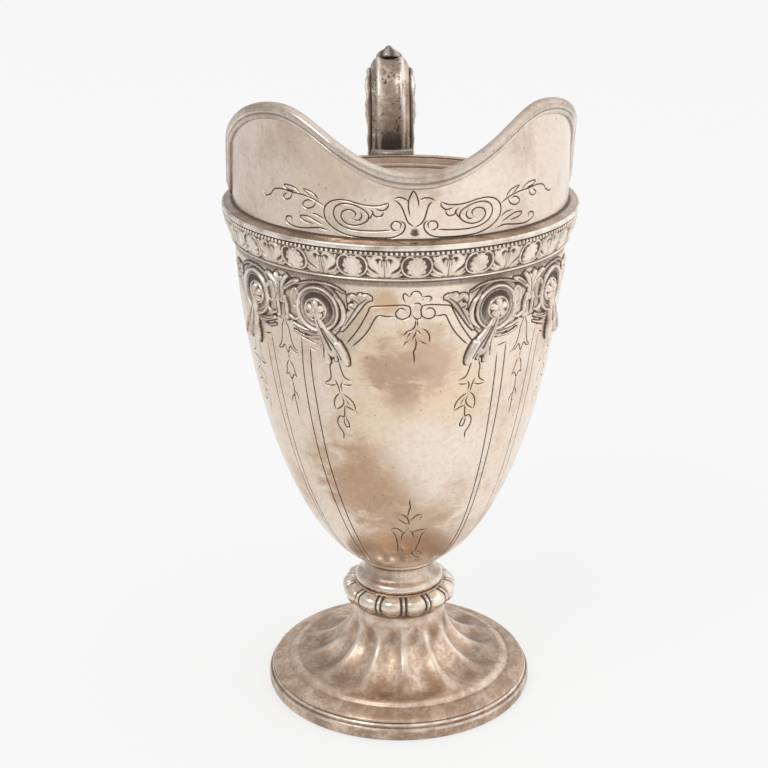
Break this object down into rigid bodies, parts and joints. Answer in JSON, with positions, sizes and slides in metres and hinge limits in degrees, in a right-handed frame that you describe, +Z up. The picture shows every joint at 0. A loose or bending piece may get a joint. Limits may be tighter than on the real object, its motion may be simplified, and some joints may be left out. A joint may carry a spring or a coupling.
{
  "type": "milk jug",
  "caption": "Footed silver milk jug with an ovoid bowl, a wavy collar that dips to a pouring spout, a rolled frieze, applied roundels with husk drops, and a strap handle.",
  "frame": {"origin": "on the table, under the middle of the jug's bounding box; the bowl's axis stands 14.1 mm from it toward the spout", "axes": "+Z up, the spout faces -Y, the handle +Y, +X to the right as seen from the spout side"},
  "size_m": [0.08, 0.1082, 0.1463],
  "materials": {
    "bowl_silver": "polished silver with brown and golden tarnish",
    "collar_silver": "polished silver with a light warm tarnish",
    "foot_silver": "brown tarnished silver, worn bright on the ridges",
    "stem_silver": "polished silver, dark in the hollows",
    "handle_silver": "cast silver, grey brown tarnish",
    "frieze_silver": "die-rolled silver, dark in the hollows",
    "casting_silver": "cast silver, dark in the hollows"
  },
  "bodies": {
    "root": {"bead_wire": "frieze_silver", "bowl": "bowl_silver", "foot_base_wire": "foot_silver", "foot_shell": "foot_silver", "frieze_band": "frieze_silver", "frieze_lower_wire": "frieze_silver", "handle_bowl_plate": "handle_silver", "handle_bud": "handle_silver", "handle_leaf": "handle_silver", "handle_rim_plate": "handle_silver", "handle_strap": "handle_silver", "husk_drop_back_left": "casting_silver", "husk_drop_back_right": "casting_silver", "husk_drop_front_left": "casting_silver", "husk_drop_front_right": "casting_silver", "husk_drop_left_back": "casting_silver", "husk_drop_left_front": "casting_silver", "husk_drop_right_back": "casting_silver", "husk_drop_right_front": "casting_silver", "knop_ring": "stem_silver", "leaf_spray_back_left": "casting_silver", "leaf_spray_back_right": "casting_silver", "leaf_spray_front_left": "casting_silver", "leaf_spray_front_right": "casting_silver", "leaf_spray_left_back": "casting_silver", "leaf_spray_left_front": "casting_silver", "leaf_spray_right_back": "casting_silver", "leaf_spray_right_front": "casting_silver", "ledge_moulding": "collar_silver", "lip_wire": "collar_silver", "palmette_back_left": "casting_silver", "palmette_back_right": "casting_silver", "palmette_front_left": "casting_silver", "palmette_front_right": "casting_silver", "roundel_back_left": "casting_silver", "roundel_back_right": "casting_silver", "roundel_front_left": "casting_silver", "roundel_front_right": "casting_silver", "roundel_left_back": "casting_silver", "roundel_left_front": "casting_silver", "roundel_right_back": "casting_silver", "roundel_right_front": "casting_silver", "spout_collar": "collar_silver", "stem_cup": "stem_silver"}
  },
  "joints": []
}
